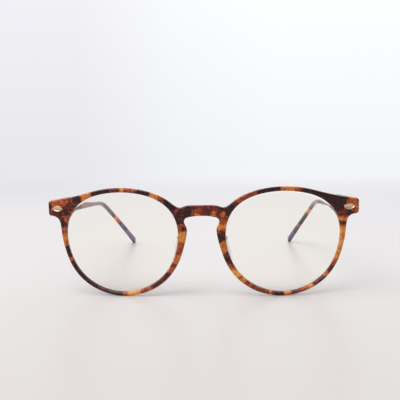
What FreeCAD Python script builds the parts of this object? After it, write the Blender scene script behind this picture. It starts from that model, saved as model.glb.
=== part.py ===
"""Blue light glasses: a parametric FreeCAD document, in millimetres.

+X is the wearer's left, the front faces -Y and +Z is up. The glasses stand as they do on a
table, on the two rims and the two temple tips, and the origin is on the table, under the
middle of the whole object.
"""

import FreeCAD, Part
import math
import os

V = FreeCAD.Vector
X_AXIS = V(1, 0, 0)
Z_AXIS = V(0, 0, 1)

doc = FreeCAD.newDocument("glasses")

# ---------------------------------------------------------------- driving dimensions
# Lengths are in millimetres and angles in degrees.

SIZES = {
    # the front, in its own upright frame: x across, y back, z up from its middle height
    "front_y": -71.91,
    "front_mid_height": 22.373,
    "front_tilt": 2.865,
    "wrap_radius": 320.0,
    "front_thick": 2.3,
    "front_height": 54.0,
    "rim_width": 1.45,
    "rim_more_at_temple": 0.25,
    "rim_more_at_nose": 1.15,
    "block_rear": 12.0,
    "block_bottom": 13.2,
    "block_inner": 61.2,
    "block_ramp": 59.0,
    "relief_inner": 57.0,
    "relief_rear": 14.0,
    "blank_half_width": 74.0,
    "waste_half_width": 76.0,
    "waste_half_height": 30.0,
    "cut_through": 60.0,
    # the lenses
    "lens_x": 36.045,
    "lens_z": 2.505,
    "lens_radius": 24.41,
    "lens_curve": 300.0,
    "lens_thick": 1.2,
    "lens_depth": 0.15,
    "lens_seat": 0.4,
    "lens_blank": 30.0,
    # the nose pads
    "pad_length": 12.6,
    "pad_depth": 7.4,
    "pad_thick": 1.8,
    "pad_edge": 0.6,
    "pad_knee": 0.5,
    "pad_x": 10.6,
    "pad_y": 5.9,
    "pad_z": -1.6,
    "pad_splay": 28.0,
    "pad_lean": 15.0,
    # the shields that rivet the front half of each hinge
    "shield_x": 65.14,
    "shield_z": 17.0,
    "shield_length": 5.3,
    "shield_height": 2.6,
    "shield_thick": 0.9,
    "shield_sunk": 0.3,
    "shield_rim": 0.5,
    "shield_dish": 0.3,
    "shank_radius": 0.5,
    "shank_spacing": 3.0,
    "shank_length": 4.9,
    # the hinges: five barrels on one screw
    "hinge_x": 64.7,
    "hinge_y": 13.4,
    "hinge_z": 16.2,
    "barrel_radius": 1.3,
    "barrel_pitch": 1.0,
    "barrel_gap": 0.05,
    "leaf_height": 5.0,
    "front_leaf_width": 6.4,
    "front_leaf_thick": 0.9,
    "front_leaf_inner": 2.7,
    "front_neck_reach": 0.9,
    "temple_leaf_length": 9.0,
    "temple_leaf_height": 3.6,
    "temple_leaf_thick": 0.8,
    "temple_leaf_ahead": 0.9,
    "temple_neck_width": 2.2,
    "temple_neck_sunk": 0.4,
    "screw_radius": 0.7,
    "screw_clearance": 0.05,
    "screw_head_radius": 1.0,
    "screw_head_height": 0.5,
    "screw_slot": 0.25,
    "rivet_radius": 0.5,
    "rivet_head_radius": 0.9,
    "rivet_head_height": 0.35,
    "rivet_cover": 0.3,
    "rivet_front_at": 3.4,
    "rivet_rear_at": 6.6,
    # the temples, in their own frame: y along the straight run, from the hinge's axis
    "temple_slope": 4.55,
    "temple_toe_in": 4.2,
    "temple_x": 3.0,
    "temple_start": 12.15,
    "temple_ahead": 4.0,
    "temple_straight": 68.4,
    "temple_bend_radius": 54.0,
    "temple_bend_angle": 16.0,
    "temple_tip_radius": 171.0,
    "temple_tip_angle": 19.355,
    "temple_curl_start": 91.0,
    "temple_curl_radius": 175.0,
    "temple_curl_sweep": 30.0,
    "temple_root_thick": 3.2,
    "temple_tip_thick": 2.1,
    "temple_corner": 0.35,
    "temple_end_lean": 1.1,
    "core_height": 1.0,
    "core_thick": 0.7,
    "core_start": 14.0,
    "core_short": 12.0,
    "side_view_width": 120.0,
    "plan_view_height": 200.0,
}

sheet = doc.addObject("Spreadsheet::Sheet", "sizes")
for row, (alias, number) in enumerate(SIZES.items(), start=1):
    sheet.set("A%d" % row, alias)
    sheet.set("B%d" % row, str(number))
    sheet.setAlias("B%d" % row, alias)
doc.recompute()


def size(alias):
    """One driving dimension, read from the sheet."""
    return float(sheet.get(alias))


# ---------------------------------------------------------------- helpers

def bind(thing, **formulas):
    """Bind properties to formulas over the sheet, with __ for the dot in a property's path."""
    for name, formula in formulas.items():
        thing.setExpression(name.replace("__", "."), formula)
    return thing


def plane_of(body, role):
    """One of a body's own origin planes, such as XZ_Plane."""
    for feature in body.Origin.OriginFeatures:
        if feature.Role == role:
            return feature
    raise ValueError(role)


def new_body(name):
    return doc.addObject("PartDesign::Body", name)


def new_sketch(body, role, name, curves):
    """A sketch of the given curves on one of the body's origin planes."""
    sketch = body.newObject("Sketcher::SketchObject", name)
    sketch.AttachmentSupport = [(plane_of(body, role), "")]
    sketch.MapMode = "FlatFace"
    for curve in curves:
        sketch.addGeometry(curve, False)
    return sketch


def pad_both_ways(body, sketch, name, length):
    """A pad of the sketch, half on each side of its plane."""
    pad = body.newObject("PartDesign::Pad", name)
    pad.Profile = sketch
    pad.Midplane = True
    bind(pad, Length=length)
    sketch.Visibility = False
    doc.recompute()
    return pad


def pocket_both_ways(body, sketch, name, length):
    """A pocket that cuts half its length on each side of the sketch's plane."""
    before = body.Shape.Volume
    pocket = body.newObject("PartDesign::Pocket", name)
    pocket.Profile = sketch
    pocket.Midplane = True
    bind(pocket, Length=length)
    sketch.Visibility = False
    doc.recompute()
    if not body.Shape.Volume < before:
        raise RuntimeError("pocket %s cuts nothing" % name)
    return pocket


def spline(points):
    """A smooth curve through 2-D points."""
    curve = Part.BSplineCurve()
    curve.interpolate([V(a, b, 0) for a, b in points])
    return curve


def segment(start, end):
    return Part.LineSegment(V(*start, 0), V(*end, 0))


def rectangle(half_width, half_height):
    """Four straight sides round the sketch's origin."""
    across, rise = half_width, half_height
    corners = [(-across, -rise), (across, -rise), (across, rise), (-across, rise)]
    return [segment(corners[i - 1], corners[i]) for i in range(4)]


def arc(start, middle, end):
    return Part.Arc(V(*start, 0), V(*middle, 0), V(*end, 0))


def boolean(kind, name, base, tool):
    """Part::Cut or Part::Common of two objects."""
    result = doc.addObject("Part::" + kind, name)
    result.Base = base
    result.Tool = tool
    return result


def fused(name, shapes):
    result = doc.addObject("Part::MultiFuse", name)
    result.Shapes = shapes
    result.Refine = True
    return result


def box(name, length, width, height):
    """A box whose three sides are formulas over the sheet."""
    return bind(doc.addObject("Part::Box", name), Length=length, Width=width, Height=height)


def cylinder(name, radius, height):
    rod = doc.addObject("Part::Cylinder", name)
    return bind(rod, Radius=radius, Height=height)


def place(thing, frame, at=(0, 0, 0), turn=None):
    """Put an object at a point of a frame, turned about that point."""
    local = FreeCAD.Placement(V(*at), turn or FreeCAD.Rotation())
    thing.Placement = frame.multiply(local)
    return thing


def mirrored(source, name):
    """The wearer's right-hand twin of a left-hand piece."""
    twin = doc.addObject("Part::Mirroring", name)
    twin.Source = source
    twin.Base = V(0, 0, 0)
    twin.Normal = X_AXIS
    return twin


# ---------------------------------------------------------------- frames

TILT = FreeCAD.Rotation(X_AXIS, size("front_tilt"))
FRONT = FreeCAD.Placement(V(0, size("front_y"), size("front_mid_height")), TILT)

HINGE_AT = (size("hinge_x"), size("hinge_y"), size("hinge_z"))
HINGE = FRONT.multiply(FreeCAD.Placement(V(*HINGE_AT), FreeCAD.Rotation()))

TOE_IN = FreeCAD.Rotation(Z_AXIS, size("temple_toe_in"))
SLOPE = FreeCAD.Rotation(X_AXIS, -size("temple_slope"))
TEMPLE = FreeCAD.Placement(HINGE.Base, TOE_IN.multiply(SLOPE))


# ---------------------------------------------------------------- the front

# The lens shape is a circle with a few harmonics: (how many lobes, cosine, sine).
LENS_LOBES = (
    (2, 1.406, -0.093), (3, 0.0, 0.782), (4, -0.277, 0.0), (5, 0.0, 0.093), (6, -0.103, 0.0),
)


def lens_edge(degrees, outward=0.0):
    """A point on the left lens shape, counted from the temple side, moved out from its centre."""
    angle = math.radians(degrees)
    radius = size("lens_radius") + outward
    for lobes, cosine, sine in LENS_LOBES:
        radius += cosine * math.cos(lobes * angle) + sine * math.sin(lobes * angle)
    return (size("lens_x") + radius * math.cos(angle), size("lens_z") + radius * math.sin(angle))


def lens_outline(outward, side=1):
    """The closed lens shape, as a periodic curve."""
    points = [lens_edge(degrees, outward) for degrees in range(0, 360, 10)]
    curve = Part.BSplineCurve()
    curve.interpolate(Points=[V(side * x, z, 0) for x, z in points], PeriodicFlag=True)
    return curve


def wrap_y(x, depth):
    """How far back the front's surface is at x, at a depth under its outer face."""
    radius = size("wrap_radius")
    return radius - math.sqrt((radius - depth) ** 2 - x * x)


def both_halves(right):
    """An outline from its left end to its right end, from its half with x from 0 up."""
    left = [(-x, z) for x, z in reversed(right) if x > 0]
    return left + right


# The upper edge, from the bridge over the rim to the end piece.
TOP_EDGE = [
    (0, 18.9), (4.6, 18.9), (7.4, 18.5), (9.6, 17.85), (11.9, 18.8), (15.2, 21.3), (20.3, 23.9),
    (27.3, 25.85), (35.9, 26.6), (44.8, 25.8), (53.8, 23.5), (61.0, 21.75), (68.3, 20.4),
]
END_CORNER = [(68.3, 20.4), (69.35, 20.1), (69.8, 19.3)]
END_LOWER_CORNER = [(69.8, 14.8), (69.45, 13.85), (68.4, 13.45)]
# Under the end piece and down the outer side of the rim.
OUTER_FLANK = [
    (68.4, 13.45), (66.8, 13.2), (65.4, 12.3), (64.5, 10.6), (64.2, 8.6), (63.75, 4.0), (62.65, -1.2),
]
# Up the inner side of the rim, round the pad bump and under the bridge.
NASAL_FLANK = [
    (9.1, -3.3), (7.5, 2.0), (6.6, 6.3), (6.5, 8.0), (7.1, 9.8), (7.75, 11.4), (7.25, 12.9),
    (5.5, 13.65), (2.7, 14.1), (0, 14.2),
]


def rim_bottom():
    """The rim's outer edge under the lens, which widens most towards the nose."""
    points = []
    for degrees in range(340, 195, -15):
        to_temple = max(0.0, (degrees - 270) / 70)
        to_nose = max(0.0, (270 - degrees) / 75)
        width = size("rim_width") + size("rim_more_at_temple") * to_temple
        points.append(lens_edge(degrees, width + size("rim_more_at_nose") * to_nose))
    return points


def front_outline():
    """The closed outer outline, as seen from the front."""
    lower = list(reversed(OUTER_FLANK + rim_bottom() + NASAL_FLANK))
    curves = [spline(both_halves(TOP_EDGE)), spline(both_halves(lower))]
    for side in (1, -1):
        curves.append(arc(*[(side * x, z) for x, z in END_CORNER]))
        curves.append(arc(*[(side * x, z) for x, z in END_LOWER_CORNER]))
        upper = END_CORNER[-1]
        under = END_LOWER_CORNER[0]
        curves.append(segment((side * upper[0], upper[1]), (side * under[0], under[1])))
    return curves


def front_plan():
    """The front from above: a curved bar with a thicker block at each end."""
    rear = size("block_rear")
    thick = size("front_thick")
    end, block, ramp = size("blank_half_width"), size("block_inner"), size("block_ramp")
    outer_arc = arc((-end, wrap_y(end, 0)), (0, 0), (end, wrap_y(end, 0)))
    inner_arc = arc((-ramp, wrap_y(ramp, thick)), (0, thick), (ramp, wrap_y(ramp, thick)))
    curves = [outer_arc, inner_arc]
    for side in (1, -1):
        curves.append(segment((side * ramp, wrap_y(ramp, thick)), (side * block, rear)))
        curves.append(segment((side * block, rear), (side * end, rear)))
        curves.append(segment((side * end, rear), (side * end, wrap_y(end, 0))))
    return curves


def rear_relief():
    """The part of the blocks that is cut away below the end pieces, one side at a time."""
    thick = size("front_thick")
    near, far = size("relief_inner"), size("blank_half_width")
    back = size("relief_rear")
    curves = []
    for side in (1, -1):
        middle = (near + far) / 2
        ends = [(side * x, wrap_y(x, thick)) for x in (near, middle, far)]
        curves.append(arc(*ends))
        curves.append(segment(ends[0], (side * near, back)))
        curves.append(segment((side * near, back), (side * far, back)))
        curves.append(segment((side * far, back), ends[2]))
    return curves


def make_front_blank():
    """The milled acetate front, before anything is let into it."""
    body = new_body("front_blank")
    plan = new_sketch(body, "XY_Plane", "front_plan", front_plan())
    pad_both_ways(body, plan, "front_bar", "sizes.front_height")

    frame = rectangle(size("waste_half_width"), size("waste_half_height"))
    waste = new_sketch(body, "XZ_Plane", "front_waste", frame + front_outline())
    pocket_both_ways(body, waste, "front_cut_to_shape", "sizes.cut_through")

    openings = [lens_outline(0, side) for side in (1, -1)]
    holes = new_sketch(body, "XZ_Plane", "lens_openings", openings)
    pocket_both_ways(body, holes, "lens_openings_cut", "sizes.cut_through")

    relief = new_sketch(body, "XY_Plane", "rear_relief", rear_relief())
    before = body.Shape.Volume
    pocket = body.newObject("PartDesign::Pocket", "rear_relief_cut")
    pocket.Profile = relief
    bind(relief, AttachmentOffset__Base__z="sizes.block_bottom")
    bind(pocket, Length="sizes.front_height")
    relief.Visibility = False
    doc.recompute()
    if not body.Shape.Volume < before:
        raise RuntimeError("rear relief cuts nothing")
    return place(body, FRONT)


front_blank = make_front_blank()


# ---------------------------------------------------------------- the lenses

def make_lens():
    """A meniscus between two spheres, edged to the lens shape plus its seat in the rim."""
    blank = new_body("lens_prism")
    edge = new_sketch(blank, "XZ_Plane", "lens_edge", [lens_outline(size("lens_seat"))])
    pad_both_ways(blank, edge, "lens_prism_pad", "sizes.lens_blank")
    place(blank, FRONT)

    wrap = math.asin(size("lens_x") / size("wrap_radius"))
    reach = size("lens_curve")
    centre = (
        size("lens_x") - reach * math.sin(wrap),
        wrap_y(size("lens_x"), 0) + size("lens_depth") + reach * math.cos(wrap),
        size("lens_z"),
    )
    outer = doc.addObject("Part::Sphere", "lens_outer_sphere")
    bind(outer, Radius="sizes.lens_curve")
    inner = doc.addObject("Part::Sphere", "lens_inner_sphere")
    bind(inner, Radius="sizes.lens_curve - sizes.lens_thick")
    for ball in (outer, inner):
        place(ball, FRONT, centre)
    shell = boolean("Cut", "lens_shell", outer, inner)
    return boolean("Common", "lens_left", blank, shell)


lens_left = make_lens()
lens_right = mirrored(lens_left, "lens_right")


# ---------------------------------------------------------------- the nose pads

def make_pad():
    """A D-shaped clear pad, glued to the back of the rim along its straight side."""
    body = new_body("pad_blank")
    half = size("pad_length") / 2
    front, rear = -size("pad_depth") / 2, size("pad_depth") / 2
    knee = size("pad_knee")
    outline = [
        segment((front, -half), (front, half)),
        segment((front, half), (-knee, half)),
        arc((-knee, half), (rear, 0), (-knee, -half)),
        segment((-knee, -half), (front, -half)),
    ]
    sketch = new_sketch(body, "YZ_Plane", "pad_outline", outline)
    pad = pad_both_ways(body, sketch, "pad_plate", "sizes.pad_thick")
    rounding = body.newObject("PartDesign::Fillet", "pad_rounding")
    rounding.Base = (pad, ["Edge%d" % (i + 1) for i in range(len(pad.Shape.Edges))])
    bind(rounding, Radius="sizes.pad_edge")
    doc.recompute()

    splay = FreeCAD.Rotation(Z_AXIS, -size("pad_splay"))
    lean = FreeCAD.Rotation(V(0, 1, 0), -size("pad_lean"))
    place(body, FRONT, (size("pad_x"), size("pad_y"), size("pad_z")), splay.multiply(lean))
    return boolean("Cut", "nose_pad_left", body, front_blank)


nose_pad_left = make_pad()
nose_pad_right = mirrored(nose_pad_left, "nose_pad_right")


# ---------------------------------------------------------------- the shields

def pointed_oval(length, height):
    """Two arcs that meet in a point at each end."""
    tip, top = length / 2, height / 2
    return [arc((-tip, 0), (0, top), (tip, 0)), arc((tip, 0), (0, -top), (-tip, 0))]


def make_shield():
    """A pointed oval badge with a dished face, on two shanks that rivet the hinge's front leaf."""
    body = new_body("shield_left")
    length, height = size("shield_length"), size("shield_height")
    plate = new_sketch(body, "XZ_Plane", "shield_outline", pointed_oval(length, height))
    pad_both_ways(body, plate, "shield_plate", "2 * sizes.shield_thick")
    rim = size("shield_rim")
    scale = (height - 2 * rim) / height
    dish = new_sketch(body, "XZ_Plane", "shield_dish", pointed_oval(length * scale, height * scale))
    pocket = body.newObject("PartDesign::Pocket", "shield_dish_cut")
    pocket.Profile = dish
    pocket.Reversed = True
    bind(dish, AttachmentOffset__Base__z="sizes.shield_thick - sizes.shield_dish")
    bind(pocket, Length="sizes.shield_thick")
    dish.Visibility = False
    doc.recompute()
    trim = new_sketch(body, "XZ_Plane", "shield_back", rectangle(length, height))
    back = body.newObject("PartDesign::Pocket", "shield_back_cut")
    back.Profile = trim
    bind(back, Length="2 * sizes.shield_thick")
    trim.Visibility = False
    doc.recompute()

    apart = size("shank_spacing") / 2
    circles = [Part.Circle(V(x, 0, 0), V(0, 0, 1), size("shank_radius")) for x in (-apart, apart)]
    shanks = new_sketch(body, "XZ_Plane", "shield_shanks", circles)
    pins = body.newObject("PartDesign::Pad", "shield_shank_pad")
    pins.Profile = shanks
    pins.Reversed = True
    bind(pins, Length="sizes.shank_length")
    shanks.Visibility = False
    doc.recompute()

    x = size("shield_x")
    turn = FreeCAD.Rotation(Z_AXIS, math.degrees(math.asin(x / size("wrap_radius"))))
    return place(body, FRONT, (x, wrap_y(x, 0) + size("shield_sunk"), size("shield_z")), turn)


shield_left = make_shield()
shield_right = mirrored(shield_left, "shield_right")


# ---------------------------------------------------------------- the hinges

def barrel(name, frame, step, gap, neck):
    """One knuckle round the screw's axis, with the neck that joins it to its leaf."""
    height = "sizes.barrel_pitch - 2 * " + gap
    bottom = (step - 0.5) * size("barrel_pitch") + (size("barrel_gap") if gap != "0" else 0)
    tube = place(cylinder(name + "_tube", "sizes.barrel_radius", height), frame, (0, 0, bottom))
    low_x, low_y, wide, deep = neck
    web = place(box(name + "_web", str(wide), str(deep), height), frame, (low_x, low_y, bottom))
    return [tube, web]


def make_front_leaf():
    """Three barrels on a plate let into the back of the end piece."""
    pieces = []
    thick = size("front_leaf_thick")
    face = size("block_rear") - size("hinge_y")
    sides = ("sizes.front_leaf_width", "sizes.front_leaf_thick", "sizes.leaf_height")
    plate = box("front_leaf_plate", *sides)
    place(plate, HINGE, (-size("front_leaf_inner"), face - thick, -size("leaf_height") / 2))
    pieces.append(plate)
    radius = size("barrel_radius")
    for step in (-2, 0, 2):
        wide = radius + size("front_neck_reach")
        neck = (-radius, face - thick / 2, wide, thick / 2 - face)
        pieces += barrel("front_barrel_%d" % (step + 2), HINGE, step, "0", neck)
    whole = fused("front_leaf_whole", pieces)
    bore = cylinder("front_leaf_bore", "sizes.screw_radius", "2 * sizes.leaf_height")
    place(bore, HINGE, (0, 0, -size("leaf_height")))
    drilled = boolean("Cut", "front_leaf_drilled", whole, bore)
    return boolean("Cut", "hinge_front_leaf_left", drilled, shield_left)


def make_temple_leaf(rivets):
    """Two barrels on a plate let into the inner face of the temple."""
    sides = ("sizes.temple_leaf_thick", "sizes.temple_leaf_length", "sizes.temple_leaf_height")
    plate = box("temple_leaf_plate", *sides)
    ahead = size("temple_leaf_ahead")
    inner = size("temple_x") - size("temple_root_thick") / 2
    place(plate, TEMPLE, (inner, -ahead, -size("temple_leaf_height") / 2))
    pieces = [plate]
    for step in (-1, 1):
        neck = (0.0, -ahead, inner + size("temple_neck_sunk"), size("temple_neck_width"))
        pieces += barrel("temple_barrel_%d" % (step + 2), HINGE, step, "sizes.barrel_gap", neck)
    whole = fused("temple_leaf_whole", pieces)
    loose = "sizes.screw_radius + sizes.screw_clearance"
    bore = cylinder("temple_leaf_bore", loose, "2 * sizes.leaf_height")
    place(bore, HINGE, (0, 0, -size("leaf_height")))
    drilled = boolean("Cut", "temple_leaf_drilled", whole, bore)
    return boolean("Cut", "hinge_temple_leaf_left", drilled, fused("temple_rivet_pair", rivets))


def make_screw():
    """The slotted screw that is the hinge's axle."""
    half = size("leaf_height") / 2
    shank = cylinder("screw_shank", "sizes.screw_radius", "sizes.leaf_height")
    place(shank, HINGE, (0, 0, -half))
    head = cylinder("screw_head", "sizes.screw_head_radius", "sizes.screw_head_height")
    place(head, HINGE, (0, 0, half))
    slot = box("screw_slot", "4 * sizes.screw_head_radius", "sizes.screw_slot", "sizes.screw_slot")
    top = half + size("screw_head_height") - size("screw_slot")
    place(slot, HINGE, (-2 * size("screw_head_radius"), -size("screw_slot") / 2, top))
    return boolean("Cut", "hinge_screw_left", fused("screw_whole", [shank, head]), slot)


def make_rivet(name, along):
    """A round-headed pin through the temple leaf, that ends just under the outer face."""
    inner = size("temple_x") - size("temple_root_thick") / 2
    sideways = FreeCAD.Rotation(V(0, 1, 0), 90)
    deep = "sizes.temple_root_thick - sizes.rivet_cover"
    shank = cylinder(name + "_shank", "sizes.rivet_radius", deep)
    place(shank, TEMPLE, (inner, along, 0), sideways)
    head = cylinder(name + "_head", "sizes.rivet_head_radius", "sizes.rivet_head_height")
    place(head, TEMPLE, (inner - size("rivet_head_height"), along, 0), sideways)
    return fused(name, [shank, head])


rivet_front_left = make_rivet("temple_rivet_front_left", size("rivet_front_at"))
rivet_rear_left = make_rivet("temple_rivet_rear_left", size("rivet_rear_at"))
temple_leaf_left = make_temple_leaf([rivet_front_left, rivet_rear_left])
front_leaf_left = make_front_leaf()
screw_left = make_screw()
hinge_pieces = [rivet_front_left, rivet_rear_left, temple_leaf_left, front_leaf_left, screw_left]
for piece in hinge_pieces:
    mirrored(piece, piece.Name.replace("_left", "_right"))
front_leaf_right = doc.getObject("hinge_front_leaf_right")


# ---------------------------------------------------------------- the temples

# Half of the temple's height, at distances along it: (distance, half height).
HALF_HEIGHTS = ((-5, 2.9), (0, 2.85), (20, 2.3), (60, 1.1), (90, 1.22), (115, 1.25), (141, 1.6))


def between(table, at):
    """A value read from a short table, joined by straight lines."""
    for (start, low), (end, high) in zip(table, table[1:]):
        if at <= end:
            return low + (high - low) * (at - start) / (end - start)
    return table[-1][1]


def temple_line(distance):
    """The side view's middle line: (y, z, angle below the straight run)."""
    bend_from = size("temple_straight")
    bend = size("temple_bend_radius")
    bend_angle = math.radians(size("temple_bend_angle"))
    tip = size("temple_tip_radius")
    if distance <= bend_from:
        return (distance, 0.0, 0.0)
    angle = min((distance - bend_from) / bend, bend_angle)
    y = bend_from + bend * math.sin(angle)
    z = -bend * (1 - math.cos(angle))
    rest = distance - bend_from - bend * angle
    if rest > 0:
        further = angle + rest / tip
        y += tip * (math.sin(further) - math.sin(angle))
        z -= tip * (math.cos(angle) - math.cos(further))
        angle = further
    return (y, z, angle)


def temple_length():
    bend = size("temple_bend_radius") * math.radians(size("temple_bend_angle"))
    tip = size("temple_tip_radius") * math.radians(size("temple_tip_angle"))
    return size("temple_straight") + bend + tip


def temple_edge(distance, side, fixed=None):
    """A point on the upper (1) or lower (-1) edge of the side view."""
    y, z, angle = temple_line(distance)
    half = fixed if fixed else between(HALF_HEIGHTS, distance)
    return (y + side * half * math.sin(angle), z + side * half * math.cos(angle))


def temple_side(start, end, lean, fixed=None):
    """The closed side view. lean shortens the upper edge and lengthens the lower one."""
    curves = []
    ends = []
    for side in (1, -1):
        last = end - side * lean
        steps = 16
        distances = [start + (last - start) * i / steps for i in range(steps + 1)]
        points = [temple_edge(d, side, fixed=fixed) for d in distances]
        curves.append(spline(points))
        ends.append((points[0], points[-1]))
    (upper_start, upper_end), (lower_start, lower_end) = ends
    curves.append(segment(upper_start, lower_start))
    curves.append(segment(upper_end, lower_end))
    return curves


def temple_plan(start, root_half, tip_half):
    """The closed view from above: a straight bar that curls inwards behind the ear."""
    curl_from = size("temple_curl_start")
    radius = size("temple_curl_radius")
    centre = (size("temple_x") - radius, curl_from)
    sweep = math.radians(size("temple_curl_sweep"))
    curves = []
    ends = []
    roots = []
    for side in (1, -1):
        reach = radius + side * tip_half
        root = (size("temple_x") + side * root_half, start)
        knee = (centre[0] + reach, curl_from)
        bend = []
        for angle in (sweep / 2, sweep):
            bend.append((centre[0] + reach * math.cos(angle), centre[1] + reach * math.sin(angle)))
        curves.append(segment(root, knee))
        curves.append(arc(knee, *bend))
        roots.append(root)
        ends.append(bend[-1])
    curves.append(segment(*ends))
    curves.append(segment(*roots))
    return curves


def bent_bar(name, start, end, lean, root_half, tip_half, fixed=None, corner=None):
    """A bar that is the common part of its side view and its view from above."""
    side_body = new_body(name + "_side_view")
    side = new_sketch(side_body, "YZ_Plane", name + "_side", temple_side(start, end, lean, fixed))
    pad = pad_both_ways(side_body, side, name + "_side_pad", "sizes.side_view_width")
    if corner:
        across = []
        for i, edge in enumerate(pad.Shape.Edges, start=1):
            along_x = abs(edge.tangentAt(edge.FirstParameter).x) > 0.999
            if along_x and edge.CenterOfMass.y > size("temple_straight"):
                across.append("Edge%d" % i)
        rounding = side_body.newObject("PartDesign::Fillet", name + "_corners")
        rounding.Base = (pad, across)
        bind(rounding, Radius=corner)
        doc.recompute()
    plan_body = new_body(name + "_plan_view")
    plan = new_sketch(plan_body, "XY_Plane", name + "_plan", temple_plan(start, root_half, tip_half))
    pad_both_ways(plan_body, plan, name + "_plan_pad", "sizes.plan_view_height")
    for body in (side_body, plan_body):
        place(body, TEMPLE)
    return boolean("Common", name, side_body, plan_body)


def make_core():
    """The flat metal core, from behind the rivets almost to the tip."""
    half = size("core_thick") / 2
    height = size("core_height") / 2
    end = temple_length() - size("core_short")
    return bent_bar("temple_core_left", size("core_start"), end, 0.0, half, half, fixed=height)


def make_temple(core):
    """The acetate temple, cut square to the end piece and hollowed for its metal parts."""
    root, tip = size("temple_root_thick") / 2, size("temple_tip_thick") / 2
    start, end, lean = -size("temple_ahead"), temple_length(), size("temple_end_lean")
    bar = bent_bar("temple_bar", start, end, lean, root, tip, corner="sizes.temple_corner")
    waste = box("temple_waste", "sizes.front_height", "sizes.block_rear", "sizes.front_height")
    ahead = size("temple_start") - size("block_rear")
    place(waste, FRONT, (size("hinge_x") - size("front_height") / 2, ahead, 0))
    inside = fused("temple_inside", [temple_leaf_left, rivet_front_left, rivet_rear_left, waste])
    bare = boolean("Cut", "temple_bare", bar, inside)
    return boolean("Cut", "temple_left", bare, core)


core_left = make_core()
mirrored(core_left, "temple_core_right")
temple_left = make_temple(core_left)
mirrored(temple_left, "temple_right")


# ---------------------------------------------------------------- the front, with everything let in

let_in = [lens_left, lens_right, shield_left, shield_right, front_leaf_left, front_leaf_right]
front_fittings = doc.addObject("Part::Compound", "front_fittings")
front_fittings.Links = let_in
frame_front = boolean("Cut", "frame_front", front_blank, front_fittings)


# ---------------------------------------------------------------- checks and files

SUB_PARTS = ["frame_front"]
for piece_name in (
    "lens", "nose_pad", "shield", "hinge_front_leaf", "hinge_temple_leaf", "hinge_screw",
    "temple", "temple_core", "temple_rivet_front", "temple_rivet_rear",
):
    SUB_PARTS += [piece_name + "_left", piece_name + "_right"]

doc.recompute()
for thing in doc.Objects:
    if "Invalid" in thing.State or "Error" in thing.State:
        raise RuntimeError("%s: %s" % (thing.Name, thing.State))
for name in SUB_PARTS:
    piece = doc.getObject(name)
    piece.Label = name
    if piece.Shape.isNull() or not piece.Shape.isValid():
        raise RuntimeError("%s has no valid shape" % name)

os.makedirs("parts", exist_ok=True)
for name in SUB_PARTS:
    doc.getObject(name).Shape.exportStep("parts/%s.step" % name)
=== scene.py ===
"""The looks of the blue light glasses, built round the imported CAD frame.

Shapes are worked out in millimetres, in the front's own frame (x to the wearer's left, y back,
z up from the middle of its height) or in a temple's, and turned into metres of the row frame.
Pieces for the wearer's right are the left ones with x turned round.
"""

import math

import bpy
import numpy as np
from mathutils import Matrix, Vector, noise


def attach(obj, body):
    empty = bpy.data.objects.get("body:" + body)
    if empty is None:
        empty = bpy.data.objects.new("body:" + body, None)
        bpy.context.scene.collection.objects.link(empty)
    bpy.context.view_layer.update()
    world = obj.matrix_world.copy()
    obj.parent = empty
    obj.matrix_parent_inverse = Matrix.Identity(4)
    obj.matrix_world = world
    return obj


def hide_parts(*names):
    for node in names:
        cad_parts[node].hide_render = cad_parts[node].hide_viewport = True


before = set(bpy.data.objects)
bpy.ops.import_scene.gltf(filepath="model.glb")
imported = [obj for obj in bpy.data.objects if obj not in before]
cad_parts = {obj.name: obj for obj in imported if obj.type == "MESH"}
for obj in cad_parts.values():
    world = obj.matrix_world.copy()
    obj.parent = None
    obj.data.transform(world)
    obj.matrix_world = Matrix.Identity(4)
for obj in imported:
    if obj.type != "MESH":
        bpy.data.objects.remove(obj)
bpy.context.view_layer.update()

MM = 0.001
LEFT, RIGHT = 1, -1
SIDE_NAMES = {LEFT: "left", RIGHT: "right"}


# ---------------------------------------------------------------- frames

def turn(axis, degrees):
    return Matrix.Rotation(math.radians(degrees), 4, axis)


FRONT = Matrix.Translation((0, -71.91, 22.373)) @ turn("X", 2.865)
HINGE_AXIS = FRONT @ Vector((64.7, 13.4, 16.2))
TEMPLE = Matrix.Translation(HINGE_AXIS) @ turn("Z", 4.2) @ turn("X", -4.55)


def moved(points, place):
    """Points, one a row, taken from a frame into the row frame."""
    matrix = np.array(place)
    return points @ matrix[:3, :3].T + matrix[:3, 3]


# ---------------------------------------------------------------- helpers

def mesh_object(name, points, faces, material):
    """A smooth-shaded mesh from points in metres."""
    mesh = bpy.data.meshes.new(name)
    mesh.from_pydata(points.tolist(), [], faces)
    mesh.update()
    mesh.shade_smooth()
    mesh.materials.append(material)
    thing = bpy.data.objects.new(name, mesh)
    bpy.context.scene.collection.objects.link(thing)
    return thing


def make_piece(name, points, faces, material, body, side=LEFT):
    """A piece of the glasses, from millimetres in the row frame, riding on a CAD body."""
    placed = np.array(points) * MM
    if side == RIGHT:
        placed = placed * (-1, 1, 1)
        faces = [face[::-1] for face in faces]
    piece = mesh_object(name, placed, faces, material)
    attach(piece, body)
    return piece


def set_attribute(piece, name, values):
    """One number for each point of a piece, for its material to read."""
    attribute = piece.data.attributes.new(name, "FLOAT", "POINT")
    attribute.data.foreach_set("value", np.asarray(values, np.float32))


def tube_faces(rings, around, closed_ends=True):
    """The faces of a tube whose points are given ring by ring."""
    faces = []
    for ring in range(rings - 1):
        for i in range(around):
            after = (i + 1) % around
            low, high = ring * around, (ring + 1) * around
            faces.append((low + i, low + after, high + after, high + i))
    if closed_ends:
        faces.append(tuple(range(around))[::-1])
        faces.append(tuple((rings - 1) * around + i for i in range(around)))
    return faces


def ripple(points, scale, seed=0.0):
    """Smooth noise from about -1 to 1 at each point, with lumps about scale apart."""
    shift = Vector((seed, 1.7 * seed, -seed))
    return np.array([noise.noise(Vector(point) / scale + shift) for point in points])


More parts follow.
